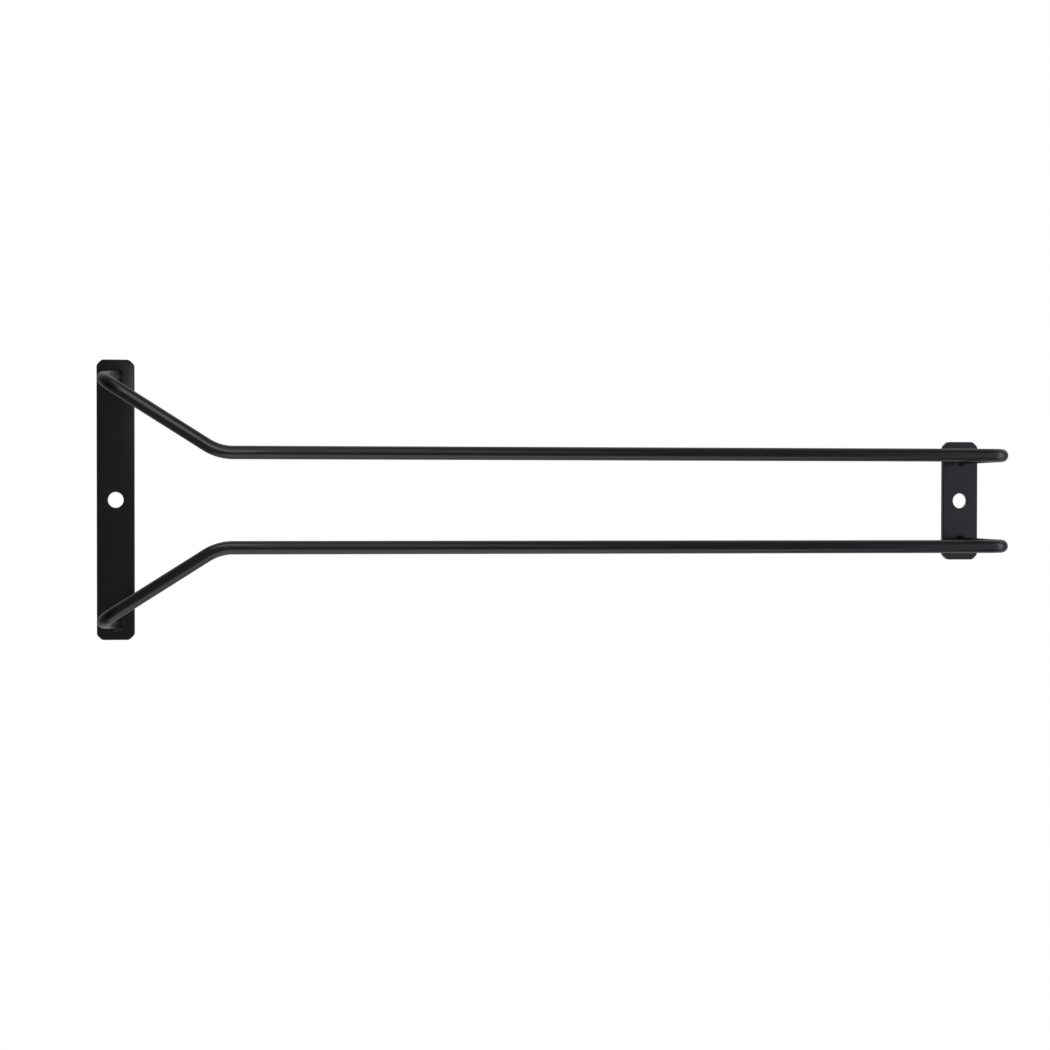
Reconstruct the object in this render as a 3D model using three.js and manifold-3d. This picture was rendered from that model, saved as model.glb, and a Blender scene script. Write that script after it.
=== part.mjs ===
// Hanging wine glass rack: two bent wire rails, welded to two flat steel plates that screw up
// under a shelf. The feet of the glasses ride on the rails and their stems hang between them.
//
// Millimetres. +Z is up as the rack hangs, +X runs from the open mouth to the closed rear end,
// and +Y is the left of someone who faces the mouth. The origin is the centre of the front
// plate's screw hole, on the face that lies against the shelf.

import * as THREE from 'three';
import { mergeVertices } from 'three/addons/utils/BufferGeometryUtils.js';
import Module from 'manifold-3d';

const wasm = await Module();
wasm.setup();

// Overall sizes
const holePitch = 342;
const overallHeight = 60;
const stemGap = 30;

// Wire rails
const wireDiameter = 5;
const mouthLength = 42.2;
const frontLegSplay = 4;
const elbowRadius = 8;
const mouthBendRadius = 18;

// Plates, cut from one flat bar
const plateThickness = 3;
const plateWidth = 14.5;
const frontPlateLength = 110;
const footInset = 6.7;
const screwHoleDiameter = 6.2;
const cornerCut = 2;
const cornerSoftening = 0.7;
const edgeBreak = 0.3;

// Weld beads between the wire ends and the plates
const weldHeight = 1.1;
const weldSpread = 0.9;
const weldBulgeShare = 1 / 3;

// Facets
const wireSides = 32;
const turnPerRing = THREE.MathUtils.degToRad(7.5);
const holeSides = 48;
const softeningSteps = 3;
const edgeBreakSteps = 2;
const weldSteps = 6;

// What follows from the sizes
const wireRadius = wireDiameter / 2;
const railSpacing = stemGap + wireDiameter;
const railLevel = wireRadius - overallHeight;
const seatLevel = -plateThickness - weldHeight;
const frontFootReach = frontPlateLength / 2 - footInset;
const rearPlateLength = railSpacing + 2 * footInset;

// Finish: black powder coat over steel
const blackCoat = { color: 0x26262a, roughness: 0.42, metalness: 0.1 };

// A straight wire bent at its corners. Each bend is a true arc of its own radius, and a ring
// stands only where the wire starts, ends or turns.
class BentWire extends THREE.Curve {
  constructor(corners, bendRadii) {
    super();
    this.rings = [];
    corners.forEach((corner, index) => {
      const before = corners[index - 1];
      const after = corners[index + 1];
      if (before && after) {
        this.addBend(before, corner, after, bendRadii[index - 1]);
      } else {
        const tangent = before ? heading(before, corner) : heading(corner, after);
        this.rings.push({ point: corner.clone(), tangent });
      }
    });
  }

  addBend(before, corner, after, radius) {
    const into = heading(before, corner);
    const turn = into.angleTo(heading(corner, after));
    const axis = into.clone().cross(heading(corner, after)).normalize();
    const start = corner.clone().addScaledVector(into, -radius * Math.tan(turn / 2));
    const centre = start.clone().addScaledVector(axis.clone().cross(into), radius);
    const steps = Math.ceil(turn / turnPerRing);
    for (let step = 0; step <= steps; step++) {
      const angle = turn * step / steps;
      const point = start.clone().sub(centre).applyAxisAngle(axis, angle).add(centre);
      this.rings.push({ point, tangent: into.clone().applyAxisAngle(axis, angle) });
    }
  }

  ringAt(share) {
    return this.rings[Math.round(share * (this.rings.length - 1))];
  }

  getPoint(share) {
    return this.ringAt(share).point.clone();
  }

  getTangent(share) {
    return this.ringAt(share).tangent.clone();
  }

  getUtoTmapping(share) {
    return share;
  }
}

function heading(from, to) {
  return to.clone().sub(from).normalize();
}

// Solids for cutting, and back to geometry
function solidOf(geometry) {
  const bare = geometry.clone();
  bare.deleteAttribute('normal');
  bare.deleteAttribute('uv');
  const merged = mergeVertices(bare);
  return new wasm.Manifold(new wasm.Mesh({
    numProp: 3,
    vertProperties: merged.attributes.position.array,
    triVerts: new Uint32Array(merged.index.array),
  }));
}

function geometryOf(solid) {
  const mesh = solid.getMesh();
  const geometry = new THREE.BufferGeometry();
  geometry.setAttribute('position', new THREE.BufferAttribute(mesh.vertProperties, 3));
  geometry.setIndex(new THREE.BufferAttribute(mesh.triVerts, 1));
  return geometry;
}

// One rail: up at the front, in along the mouth, back along the shelf and up again. Both ends
// start above the seat and are cut level with it, because the splayed front leg meets it askew.
function railCorners(side) {
  const line = side * railSpacing / 2;
  const elbow = side * (frontFootReach - frontLegSplay);
  const splayPerHeight = side * frontLegSplay / (-plateThickness - railLevel);
  return [
    new THREE.Vector3(0, elbow - splayPerHeight * railLevel, 0),
    new THREE.Vector3(0, elbow, railLevel),
    new THREE.Vector3(mouthLength, line, railLevel),
    new THREE.Vector3(holePitch, line, railLevel),
    new THREE.Vector3(holePitch, line, 0),
  ];
}

function railGeometry(side) {
  const wire = new BentWire(railCorners(side), [elbowRadius, mouthBendRadius, elbowRadius]);
  const section = new THREE.Shape().absarc(0, 0, wireRadius, 0, 2 * Math.PI);
  const uncut = new THREE.ExtrudeGeometry(section, {
    extrudePath: wire,
    steps: wire.rings.length - 1,
    curveSegments: wireSides / 2,
  });
  const cutDepth = wireDiameter - seatLevel;
  const cutter = new THREE.BoxGeometry(2 * holePitch + plateWidth, frontPlateLength, cutDepth);
  cutter.translate(0, 0, seatLevel + cutDepth / 2);
  return geometryOf(solidOf(uncut).subtract(solidOf(cutter)));
}

// A plate's outline: a bar end with its four corners cut off and the cuts softened.
function plateOutline(length) {
  const x = plateWidth / 2;
  const y = length / 2;
  const corners = [
    [x, y - cornerCut], [x - cornerCut, y], [cornerCut - x, y], [-x, y - cornerCut],
    [-x, cornerCut - y], [cornerCut - x, -y], [x - cornerCut, -y], [x, cornerCut - y],
  ].map(([across, along]) => new THREE.Vector2(across, along));
  const outline = new THREE.Shape();
  corners.forEach((corner, index) => {
    const before = heading(corner, corners.at(index - 1)).multiplyScalar(cornerSoftening);
    const after = heading(corner, corners[(index + 1) % corners.length]);
    const start = corner.clone().add(before);
    const end = corner.clone().addScaledVector(after, cornerSoftening);
    if (index === 0) {
      outline.moveTo(start.x, start.y);
    } else {
      outline.lineTo(start.x, start.y);
    }
    const curve = new THREE.QuadraticBezierCurve(start, corner, end);
    curve.getPoints(softeningSteps).slice(1).forEach((point) => outline.lineTo(point.x, point.y));
  });
  return outline;
}

function plateGeometry(length) {
  const outline = plateOutline(length);
  const hole = new THREE.Path().absarc(0, 0, screwHoleDiameter / 2, 0, 2 * Math.PI);
  outline.holes.push(hole);
  const geometry = new THREE.ExtrudeGeometry(outline, {
    depth: plateThickness - 2 * edgeBreak,
    bevelThickness: edgeBreak,
    bevelSize: edgeBreak,
    bevelOffset: -edgeBreak,
    bevelSegments: edgeBreakSteps,
    curveSegments: holeSides / 2,
  });
  geometry.translate(0, 0, edgeBreak - plateThickness);
  return geometry;
}

// A weld bead: broad on the plate, hollowed like a fillet and as wide as the wire at its end.
function weldGeometry() {
  const toe = new THREE.Vector2(wireRadius + weldSpread, 0);
  const bulge = new THREE.Vector2(wireRadius + weldSpread * weldBulgeShare, 0);
  const tip = new THREE.Vector2(wireRadius, weldHeight);
  const hollow = new THREE.QuadraticBezierCurve(toe, bulge, tip);
  const profile = [new THREE.Vector2(0, 0), ...hollow.getPoints(weldSteps)];
  profile.push(new THREE.Vector2(0, weldHeight));
  return new THREE.LatheGeometry(profile, wireSides).rotateX(-Math.PI / 2);
}

function addPiece(parent, name, geometry) {
  geometry.computeVertexNormals();
  const piece = new THREE.Mesh(geometry, new THREE.MeshStandardMaterial(blackCoat));
  piece.name = name;
  parent.add(piece);
  return piece;
}

const rack = new THREE.Group();

const frontEnd = new THREE.Group();
const rearEnd = new THREE.Group();
rearEnd.position.x = holePitch;
rack.add(frontEnd, rearEnd);

addPiece(frontEnd, 'front_plate', plateGeometry(frontPlateLength));
addPiece(rearEnd, 'rear_plate', plateGeometry(rearPlateLength));

const sides = { left: 1, right: -1 };
for (const [sideName, side] of Object.entries(sides)) {
  addPiece(rack, `rail_${sideName}`, railGeometry(side));
  const frontWeld = addPiece(frontEnd, `front_weld_${sideName}`, weldGeometry());
  frontWeld.position.set(0, side * frontFootReach, -plateThickness);
  const rearWeld = addPiece(rearEnd, `rear_weld_${sideName}`, weldGeometry());
  rearWeld.position.set(0, side * railSpacing / 2, -plateThickness);
}

export default rack;
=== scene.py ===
"""Hanging wine glass rack in black powder coat: two bent wire rails welded to two screw plates.

The rack hangs under a shelf, and the photograph looks straight up at it from below. Metres,
+Z up, +X from the open mouth to the closed rear end.
"""

from math import acos, atan2, pi, radians, tan

import bmesh
import bpy
from mathutils import Matrix, Vector


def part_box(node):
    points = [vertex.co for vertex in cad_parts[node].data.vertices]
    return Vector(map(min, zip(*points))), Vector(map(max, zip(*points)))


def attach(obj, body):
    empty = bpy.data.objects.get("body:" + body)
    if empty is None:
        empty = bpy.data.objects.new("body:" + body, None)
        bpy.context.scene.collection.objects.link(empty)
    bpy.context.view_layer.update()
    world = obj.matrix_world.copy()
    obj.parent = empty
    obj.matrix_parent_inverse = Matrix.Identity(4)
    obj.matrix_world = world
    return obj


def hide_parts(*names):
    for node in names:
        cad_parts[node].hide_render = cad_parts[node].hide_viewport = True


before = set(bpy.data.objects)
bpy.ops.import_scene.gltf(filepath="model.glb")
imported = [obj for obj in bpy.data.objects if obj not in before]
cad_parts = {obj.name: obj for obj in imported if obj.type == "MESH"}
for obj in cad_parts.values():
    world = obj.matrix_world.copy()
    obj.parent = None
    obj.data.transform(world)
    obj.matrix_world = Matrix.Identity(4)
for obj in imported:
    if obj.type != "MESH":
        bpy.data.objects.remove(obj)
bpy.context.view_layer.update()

MM = 0.001

# Sizes read from the frame
front_low, front_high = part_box("front_plate")
rear_low, rear_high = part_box("rear_plate")
rail_low, rail_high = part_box("rail_left")
PLATE_UNDERSIDE = front_low.z
SEAT_LEVEL = rail_high.z
REAR_X = (rear_low.x + rear_high.x) / 2

# Sizes of the wire. The mouth is as long as from the middle of the front plate to the corner where
# its slanted run would meet the long run, and a foot's inset is from the plate's end to its middle
WIRE_RADIUS = 2.5 * MM
ELBOW_RADIUS = 8 * MM
MOUTH_BEND_RADIUS = 18 * MM
MOUTH_LENGTH = 42.2 * MM
FRONT_LEG_SPLAY = 4 * MM
FOOT_INSET = 6.7 * MM
WIRE_SIDES = 64
TURN_PER_STEP = radians(3)

# Sizes of the plates
SCREW_HOLE_RADIUS = 3.1 * MM
CORNER_CUT = 2 * MM
CORNER_SOFTENING = 0.7 * MM
EDGE_BREAK = 0.3 * MM
SOFTENING_STEPS = 4
EDGE_STEPS = 4
HOLE_SIDES = 96
HOLE_BORDER = 3 * MM
FLAT_SIDE_AREA = 2 * MM * MM
SQUARE_EDGE_ANGLE = radians(60)
LEVEL_NORMAL = 0.999

# Weld beads: how far each ring of a bead stands off the wire, and how far below the plate
WELD_RINGS = [(0.88 * MM, 0), (0.83 * MM, 0.05 * MM), (0.75 * MM, 0.16 * MM), (0.63 * MM, 0.36 * MM),
              (0.47 * MM, 0.64 * MM), (0.30 * MM, 0.94 * MM), (0.15 * MM, 1.22 * MM),
              (0.03 * MM, 1.45 * MM), (-0.12 * MM, 1.6 * MM)]
WELD_RIPPLES = 26
COLUMNS_PER_RIPPLE = 4
WELD_RIPPLE_HEIGHT = 0.02 * MM
WELD_RIPPLE_DEPTHS = (0.1 * MM, 1.1 * MM)
WELD_RIPPLE_TRAIL = 4
WELD_LUMP_SIZE = 3 * MM
WELD_LUMP_HEIGHT = 0.12 * MM

# Edges sharper than these angles are shaded as edges
CRISP_ANGLE = radians(40)
WELD_CRISP_ANGLE = radians(70)

# The powder coat: how wide its patches of tone and gloss are, how far the gloss wanders, and how
# much smaller and flatter the fine grain is than the orange peel under it
TONE_PATCH = 14 * MM
GLOSS_PATCH = 5 * MM
ROUGHNESS_WANDER = 0.03
GRAINS_PER_PEEL = 5
GRAIN_FLATNESS = 6
NOISE_MIDDLE = (0.3, 0.7)
COAT_IOR = 1.5

# Where the photograph was taken from, found from the plates, holes and bends it shows
LENS = 67.67
CAMERA_PLACE = (0.0715, -0.0004, -0.790)
CAMERA_YAW = 0.114
CAMERA_PITCH = 0.013
CAMERA_ROLL = -0.0011
NEAREST_SEEN = 10 * MM
FARTHEST_SEEN = 100

# The studio
FLOOR_LEVEL = -0.95
FLOOR_WIDTH = 40
FLOOR_TONE = (0.8, 0.8, 0.79, 1)
FLOOR_ROUGHNESS = 0.9
FLOOR_GLOW = 0.75
RACK_MIDDLE = (0.12, 0, -0.05)
RIGHT_MOUTH_RUN = (0.032, -0.025, -0.058)

# How bright the studio is by the angle from straight up in degrees, looking along the rack and
# across it
SKY_ANGLES = [0, 30, 50, 65, 85, 120, 180]
SKY_ALONG = [0.3, 0.2, 0.3, 0.2, 0.1, 0, 0.25]
SKY_ACROSS = [0.3, 0.5, 0.75, 0.75, 0.35, 0.3, 0.25]


def deselect_all():
    bpy.ops.object.select_all(action="DESELECT")


def pick(piece, kind, fits):
    """Select, in edit mode, just the corners, edges or faces that fit."""
    bpy.ops.mesh.select_mode(type=kind)
    bpy.ops.mesh.select_all(action="DESELECT")
    mesh = bmesh.from_edit_mesh(piece.data)
    for element in {"VERT": mesh.verts, "EDGE": mesh.edges, "FACE": mesh.faces}[kind]:
        element.select_set(fits(element))
    mesh.select_flush_mode()
    bmesh.update_edit_mesh(piece.data)


def is_upright(edge):
    one, other = (end.co for end in edge.verts)
    return abs(one.z - other.z) > (one - other).length / 2


def is_square_edge(edge):
    return edge.calc_face_angle(0) > SQUARE_EDGE_ANGLE


def is_level(face):
    return abs(face.normal.z) > LEVEL_NORMAL


def is_flat_side(face):
    """Tell a plate's flat faces from the narrow strips of its curves and broken edges."""
    return is_level(face) or face.calc_area() > FLAT_SIDE_AREA


def finish_mesh(piece, name, slot, crisp_angle):
    """Name, shade and coat the piece, and let it ride and stand for the CAD node of that name."""
    piece.name = f"{name}_coated"
    piece.data.name = piece.name
    bpy.ops.object.transform_apply(location=True, rotation=True, scale=True)
    bpy.ops.object.shade_smooth_by_angle(angle=crisp_angle)
    piece.data.materials.clear()
    piece.data.materials.append(COATS[slot])
    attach(piece, "root")
    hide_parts(name)


# Materials

def add_node(tree, kind, **settings):
    """Add a shader node; sockets are set by name and everything else is a setting of the node."""
    node = tree.nodes.new(kind)
    for name, value in settings.items():
        label = name.replace("_", " ")
        if label in node.inputs:
            node.inputs[label].default_value = value
        else:
            setattr(node, name, value)
    return node


def calculate(tree, operation, *values):
    """A maths node on values that are numbers or other nodes' outputs."""
    node = add_node(tree, "ShaderNodeMath", operation=operation)
    for socket, value in zip(node.inputs, values):
        if isinstance(value, bpy.types.NodeSocket):
            tree.links.new(value, socket)
        else:
            socket.default_value = value
    return node.outputs["Value"]


def noise(tree, place, size, detail):
    """Noise whose patches are about as wide as the size given."""
    pattern = add_node(tree, "ShaderNodeTexNoise", Scale=1 / size, Detail=detail)
    tree.links.new(place, pattern.inputs["Vector"])
    return pattern.outputs["Fac"]


def spread(tree, pattern, low, high):
    """Stretch the middle of a noise over the range from low to high."""
    start, end = NOISE_MIDDLE
    stretch = add_node(
        tree, "ShaderNodeMapRange", From_Min=start, From_Max=end, To_Min=low, To_Max=high)
    tree.links.new(pattern, stretch.inputs["Value"])
    return stretch.outputs["Result"]


def powder_coat(name, dark, light, roughness, peel_size, peel_depth):
    """Satin black powder coat: a fine orange peel with a finer grain on it, and a coat that is
    a little uneven in tone and gloss."""
    coat = bpy.data.materials.new(name)
    coat.use_nodes = True
    tree = coat.node_tree
    tree.nodes.clear()
    place = add_node(tree, "ShaderNodeTexCoord").outputs["Object"]

    tone = add_node(tree, "ShaderNodeMix", data_type="RGBA")
    patches = noise(tree, place, TONE_PATCH, detail=4)
    tree.links.new(spread(tree, patches, 0, 1), tone.inputs["Factor"])
    tone.inputs[6].default_value = (*dark, 1)
    tone.inputs[7].default_value = (*light, 1)

    peel = add_node(tree, "ShaderNodeBump", Strength=1, Distance=peel_depth)
    tree.links.new(noise(tree, place, peel_size, detail=1), peel.inputs["Height"])
    grain = add_node(tree, "ShaderNodeBump", Strength=1, Distance=peel_depth / GRAIN_FLATNESS)
    grain_pattern = noise(tree, place, peel_size / GRAINS_PER_PEEL, detail=1)
    tree.links.new(grain_pattern, grain.inputs["Height"])
    tree.links.new(peel.outputs["Normal"], grain.inputs["Normal"])

    surface = add_node(tree, "ShaderNodeBsdfPrincipled", IOR=COAT_IOR)
    tree.links.new(tone.outputs[2], surface.inputs["Base Color"])
    gloss_patches = noise(tree, place, GLOSS_PATCH, detail=3)
    sheen = spread(
        tree, gloss_patches, roughness - ROUGHNESS_WANDER, roughness + ROUGHNESS_WANDER)
    tree.links.new(sheen, surface.inputs["Roughness"])
    tree.links.new(grain.outputs["Normal"], surface.inputs["Normal"])
    output = add_node(tree, "ShaderNodeOutputMaterial")
    tree.links.new(surface.outputs["BSDF"], output.inputs["Surface"])
    return coat


COATS = {
    "rail_coat": powder_coat(
        "rail_coat", dark=(0.0065, 0.0063, 0.0074), light=(0.0088, 0.0085, 0.01),
        roughness=0.2, peel_size=1.2 * MM, peel_depth=0.006 * MM),
    "plate_coat": powder_coat(
        "plate_coat", dark=(0.005, 0.005, 0.0053), light=(0.007, 0.007, 0.0076),
        roughness=0.2, peel_size=1.4 * MM, peel_depth=0.008 * MM),
    # The bead's coat is painted darker than the wire's: painted shade for the dark ring where each
    # bead meets its plate
    "weld_coat": powder_coat(
        "weld_coat", dark=(0.0045, 0.0045, 0.005), light=(0.0065, 0.0065, 0.0072),
        roughness=0.22, peel_size=0.9 * MM, peel_depth=0.01 * MM),
}


# The rack

def rail_corners(side):
    """Where the middle of the wire would turn if its bends were sharp, from front to rear foot."""
    line = side * (rail_low.y + WIRE_RADIUS)
    level = rail_low.z + WIRE_RADIUS
    elbow = side * (front_high.y - FOOT_INSET - FRONT_LEG_SPLAY)
    splay_per_height = side * FRONT_LEG_SPLAY / (PLATE_UNDERSIDE - level)
    return [
        Vector((0, elbow - splay_per_height * level, 0)),
        Vector((0, elbow, level)),
        Vector((MOUTH_LENGTH, line, level)),
        Vector((REAR_X, line, level)),
        Vector((REAR_X, line, 0)),
    ]


def bend_rail(name, side):
    """Draw a round wire out from its front foot, turning it round each bend in one go."""
    corners = rail_corners(side)
    first_heading = corners[1] - corners[0]
    deselect_all()
    bpy.ops.mesh.primitive_circle_add(
        vertices=WIRE_SIDES, radius=WIRE_RADIUS, fill_type="NGON", location=corners[0],
        rotation=first_heading.to_track_quat("Z", "Y").to_euler())
    rail = bpy.context.object
    bpy.ops.object.transform_apply(location=True, rotation=True, scale=True)
    bpy.ops.object.mode_set(mode="EDIT")
    bpy.ops.mesh.select_all(action="SELECT")
    at = corners[0]
    bends = zip(corners, corners[1:], corners[2:], (ELBOW_RADIUS, MOUTH_BEND_RADIUS, ELBOW_RADIUS))
    for before, corner, after, radius in bends:
        into = (corner - before).normalized()
        out = (after - corner).normalized()
        turn = acos(into.dot(out))
        axis = into.cross(out).normalized()
        setback = radius * tan(turn / 2)
        start = corner - into * setback
        bpy.ops.mesh.extrude_region_move(TRANSFORM_OT_translate={"value": start - at})
        # Spin turns clockwise about its axis
        bpy.ops.mesh.spin(
            steps=round(turn / TURN_PER_STEP), angle=turn,
            center=start + axis.cross(into) * radius, axis=-axis)
        at = corner + out * setback
    bpy.ops.mesh.extrude_region_move(TRANSFORM_OT_translate={"value": corners[-1] - at})
    bpy.ops.mesh.select_all(action="SELECT")
    bpy.ops.mesh.bisect(
        plane_co=(0, 0, SEAT_LEVEL), plane_no=(0, 0, 1), use_fill=True, clear_outer=True)
    bpy.ops.mesh.select_all(action="SELECT")
    bpy.ops.mesh.normals_make_consistent(inside=False)
    bpy.ops.object.mode_set(mode="OBJECT")
    finish_mesh(rail, name, "rail_coat", CRISP_ANGLE)


def cut_plate(name, low, high):
    """Cut a length of flat bar, clip and soften its corners, drill it and break its edges."""
    centre = (low + high) / 2
    deselect_all()
    bpy.ops.mesh.primitive_cube_add(size=1, location=centre, scale=high - low)
    plate = bpy.context.object
    bpy.ops.object.transform_apply(location=True, rotation=True, scale=True)
    bpy.ops.object.mode_set(mode="EDIT")
    pick(plate, "EDGE", is_upright)
    bpy.ops.mesh.bevel(offset=CORNER_CUT, segments=1)
    pick(plate, "EDGE", is_upright)
    bpy.ops.mesh.bevel(offset=CORNER_SOFTENING, segments=SOFTENING_STEPS)
    for end in (-1, 1):
        beside_hole = centre + Vector((0, end * (SCREW_HOLE_RADIUS + HOLE_BORDER), 0))
        bpy.ops.mesh.select_all(action="SELECT")
        bpy.ops.mesh.bisect(plane_co=beside_hole, plane_no=(0, 1, 0))
    bpy.ops.object.mode_set(mode="OBJECT")
    thickness = high.z - low.z
    drill_hole(plate, centre, 2 * thickness)
    bpy.ops.object.mode_set(mode="EDIT")
    pick(plate, "EDGE", is_square_edge)
    bpy.ops.mesh.bevel(offset=EDGE_BREAK, segments=EDGE_STEPS)
    pick(plate, "FACE", is_level)
    bpy.ops.mesh.quads_convert_to_tris(quad_method="BEAUTY", ngon_method="BEAUTY")
    bpy.ops.object.mode_set(mode="OBJECT")
    finish_mesh(plate, name, "plate_coat", CRISP_ANGLE)
    bpy.ops.object.mode_set(mode="EDIT")
    pick(plate, "FACE", is_flat_side)
    bpy.ops.mesh.set_normals_from_faces()
    bpy.ops.object.mode_set(mode="OBJECT")


def drill_hole(plate, centre, depth):
    deselect_all()
    bpy.ops.mesh.primitive_cylinder_add(
        vertices=HOLE_SIDES, radius=SCREW_HOLE_RADIUS, depth=depth, location=centre)
    drill = bpy.context.object
    cut = plate.modifiers.new("screw_hole", "BOOLEAN")
    cut.operation = "DIFFERENCE"
    cut.solver = "EXACT"
    cut.object = drill
    deselect_all()
    plate.select_set(True)
    bpy.context.view_layer.objects.active = plate
    bpy.ops.object.modifier_apply(modifier=cut.name)
    bpy.data.objects.remove(drill)


def lay_weld(name, foot, lean):
    """Build a bead up from its toe on the plate to where it runs out on the wire, then let it
    set a little uneven. The lean is how far the wire moves sideways per length down it."""
    deselect_all()
    toe, _ = WELD_RINGS[0]
    sides = WELD_RIPPLES * COLUMNS_PER_RIPPLE
    bpy.ops.mesh.primitive_circle_add(
        vertices=sides, radius=WIRE_RADIUS + toe, fill_type="NGON", location=foot)
    weld = bpy.context.object
    bpy.ops.object.transform_apply(location=True, rotation=True, scale=True)
    bpy.ops.object.mode_set(mode="EDIT")
    bpy.ops.mesh.select_all(action="SELECT")
    at = foot
    for (before, above), (after, below) in zip(WELD_RINGS, WELD_RINGS[1:]):
        step = Vector((0, lean * (below - above), above - below))
        at = at + step
        bpy.ops.mesh.extrude_region_move(TRANSFORM_OT_translate={"value": step})
        size = (WIRE_RADIUS + after) / (WIRE_RADIUS + before)
        bpy.ops.transform.resize(value=(size, size, 1), center_override=at)
    bpy.ops.mesh.select_all(action="SELECT")
    bpy.ops.mesh.normals_make_consistent(inside=False)
    shallow, deep = WELD_RIPPLE_DEPTHS

    def is_in_column(corner, wanted):
        """Tell whether a corner of the bead's face stands in the wanted column of its ripple.
        The ripples trail round the wire on their way down the bead."""
        out = corner.co - foot
        around = atan2(out.y + lean * out.z, out.x) / (2 * pi) * sides
        column = round(around - WELD_RIPPLE_TRAIL * out.z / deep) % COLUMNS_PER_RIPPLE
        return shallow < -out.z < deep and column == wanted

    pick(weld, "VERT", lambda corner: is_in_column(corner, 0))
    bpy.ops.transform.shrink_fatten(value=WELD_RIPPLE_HEIGHT)
    pick(weld, "VERT", lambda corner: is_in_column(corner, COLUMNS_PER_RIPPLE // 2))
    bpy.ops.transform.shrink_fatten(value=-WELD_RIPPLE_HEIGHT)
    bpy.ops.object.mode_set(mode="OBJECT")
    lumps = bpy.data.textures.new(f"{name}_lumps", "CLOUDS")
    lumps.noise_scale = WELD_LUMP_SIZE
    uneven = weld.modifiers.new("uneven", "DISPLACE")
    uneven.texture = lumps
    uneven.texture_coords = "LOCAL"
    uneven.strength = WELD_LUMP_HEIGHT
    bpy.ops.object.modifier_apply(modifier=uneven.name)
    finish_mesh(weld, name, "weld_coat", WELD_CRISP_ANGLE)


# The studio

def aim(place, target):
    """A matrix at the place whose -Z looks at the target."""
    turn = (Vector(target) - Vector(place)).to_track_quat("-Z", "Y")
    return Matrix.Translation(place) @ turn.to_matrix().to_4x4()


def photograph_camera():
    data = bpy.data.cameras.new("photograph")
    data.lens = LENS
    data.clip_start = NEAREST_SEEN
    data.clip_end = FARTHEST_SEEN
    camera = bpy.data.objects.new("photograph", data)
    bpy.context.scene.collection.objects.link(camera)
    looking_up = Matrix.Rotation(pi, 3, "X")
    yaw = Matrix.Rotation(-CAMERA_YAW, 3, "Y")
    pitch = Matrix.Rotation(-CAMERA_PITCH, 3, "X")
    roll = Matrix.Rotation(-CAMERA_ROLL, 3, "Z")
    turned = (looking_up @ yaw @ pitch @ roll).to_4x4()
    camera.matrix_world = Matrix.Translation(CAMERA_PLACE) @ turned
    bpy.context.scene.camera = camera


def soft_light(name, place, target, width, height, turn, brightness, colour):
    """A flat panel aimed at a target and turned in its own plane by some degrees. Its power is pi
    times its brightness and its area, so a panel of any size looks as bright as the number."""
    data = bpy.data.lights.new(name, "AREA")
    data.shape = "RECTANGLE"
    data.size = width
    data.size_y = height
    data.energy = pi * brightness * width * height
    data.color = colour
    light = bpy.data.objects.new(name, data)
    bpy.context.scene.collection.objects.link(light)
    light.matrix_world = aim(place, target) @ Matrix.Rotation(radians(turn), 4, "Z")
    light.visible_camera = False


def pale_floor():
    deselect_all()
    bpy.ops.mesh.primitive_plane_add(size=FLOOR_WIDTH, location=(0, 0, FLOOR_LEVEL))
    floor = bpy.context.object
    floor.name = "floor"
    paint = bpy.data.materials.new("pale_floor")
    paint.use_nodes = True
    surface = paint.node_tree.nodes["Principled BSDF"]
    surface.inputs["Base Color"].default_value = FLOOR_TONE
    surface.inputs["Roughness"].default_value = FLOOR_ROUGHNESS
    surface.inputs["Emission Color"].default_value = FLOOR_TONE
    surface.inputs["Emission Strength"].default_value = FLOOR_GLOW
    floor.data.materials.append(paint)
    floor.visible_glossy = False
    floor.visible_diffuse = False


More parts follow.
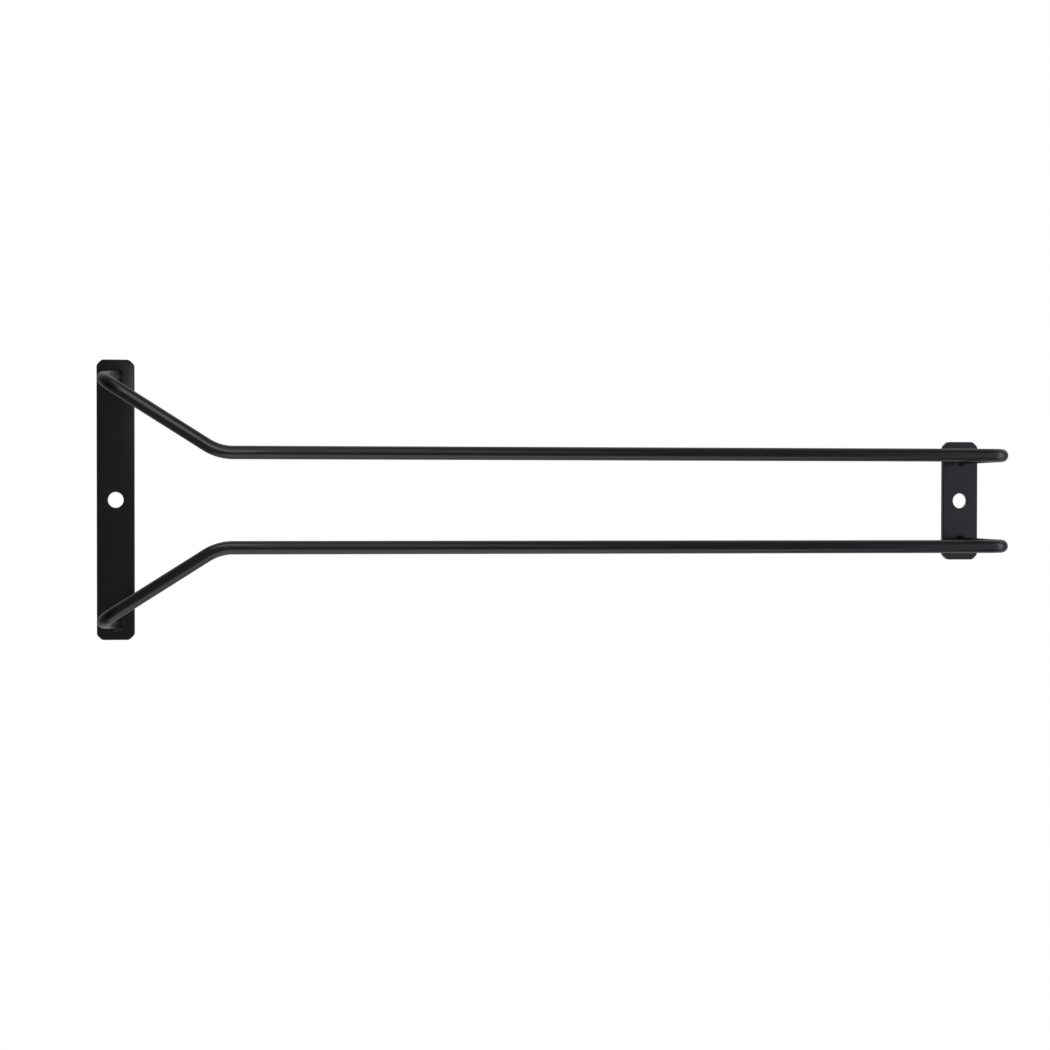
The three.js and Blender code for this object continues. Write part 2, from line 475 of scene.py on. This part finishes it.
def studio_world():
    """The studio as the coat mirrors it: dim along the rack, and lighter over its two sides. The
    camera sees plain white."""
    world = bpy.data.worlds.new("studio")
    bpy.context.scene.world = world
    world.use_nodes = True
    tree = world.node_tree
    tree.nodes.clear()
    heading = add_node(tree, "ShaderNodeTexCoord").outputs["Generated"]
    parts = add_node(tree, "ShaderNodeSeparateXYZ")
    tree.links.new(heading, parts.inputs["Vector"])
    across, height = parts.outputs["Y"], parts.outputs["Z"]
    half_turns = calculate(tree, "DIVIDE", calculate(tree, "ARCCOSINE", height), pi)
    sideways = calculate(tree, "SUBTRACT", 1, calculate(tree, "MULTIPLY", height, height))
    share = calculate(tree, "DIVIDE", calculate(tree, "MULTIPLY", across, across), sideways)
    sky = add_node(tree, "ShaderNodeMix", data_type="RGBA")
    tree.links.new(share, sky.inputs["Factor"])
    for tones, socket in ((SKY_ALONG, sky.inputs[6]), (SKY_ACROSS, sky.inputs[7])):
        ramp = add_node(tree, "ShaderNodeValToRGB")
        stops = ramp.color_ramp.elements
        while len(stops) < len(SKY_ANGLES):
            stops.new(1)
        for stop, angle, tone in zip(stops, SKY_ANGLES, tones):
            stop.position = angle / 180
            stop.color = (tone, tone, tone, 1)
        tree.links.new(half_turns, ramp.inputs["Fac"])
        tree.links.new(ramp.outputs["Color"], socket)
    path = add_node(tree, "ShaderNodeLightPath")
    brightness = calculate(tree, "MAXIMUM", sky.outputs[2], path.outputs["Is Camera Ray"])
    backdrop = add_node(tree, "ShaderNodeBackground", Color=(1, 1, 1, 1))
    tree.links.new(brightness, backdrop.inputs["Strength"])
    output = add_node(tree, "ShaderNodeOutputWorld")
    tree.links.new(backdrop.outputs["Background"], output.inputs["Surface"])


photograph_camera()
bpy.context.scene.view_settings.view_transform = "Standard"
studio_world()
pale_floor()
soft_light(
    "left_panel", place=(0.14, 0.54, -0.27), target=RACK_MIDDLE, width=0.56, height=0.7,
    turn=-26, brightness=1.07, colour=(0.98, 0.97, 1.04))
soft_light(
    "right_panel", place=(0.08, -0.23, -0.31), target=RACK_MIDDLE, width=0.47, height=0.24,
    turn=-77, brightness=0.65, colour=(1, 0.99, 1.02))
soft_light(
    "mouth_strip", place=(0.032, -0.037, -0.087), target=RIGHT_MOUTH_RUN, width=0.056,
    height=0.024, turn=-32, brightness=1.2, colour=(1, 1, 1))
soft_light(
    "rear_panel", place=(0.75, 0, -0.35), target=RACK_MIDDLE, width=0.9, height=0.9,
    turn=0, brightness=0.6, colour=(0.97, 0.94, 1.15))
soft_light(
    "rear_strip", place=(0.95, 0, -0.22), target=RACK_MIDDLE, width=0.7, height=0.3,
    turn=0, brightness=1.2, colour=(1, 1, 1))

cut_plate("front_plate", front_low, front_high)
cut_plate("rear_plate", rear_low, rear_high)
for side_name, side in (("left", 1), ("right", -1)):
    foot, elbow, _, _, rear_foot = rail_corners(side)
    bend_rail(f"rail_{side_name}", side)
    lean = (elbow.y - foot.y) / (foot.z - elbow.z)
    foot_on_plate = foot + Vector((0, -lean * PLATE_UNDERSIDE, PLATE_UNDERSIDE))
    lay_weld(f"front_weld_{side_name}", foot_on_plate, lean)
    rear_foot_on_plate = Vector((REAR_X, rear_foot.y, PLATE_UNDERSIDE))
    lay_weld(f"rear_weld_{side_name}", rear_foot_on_plate, 0)
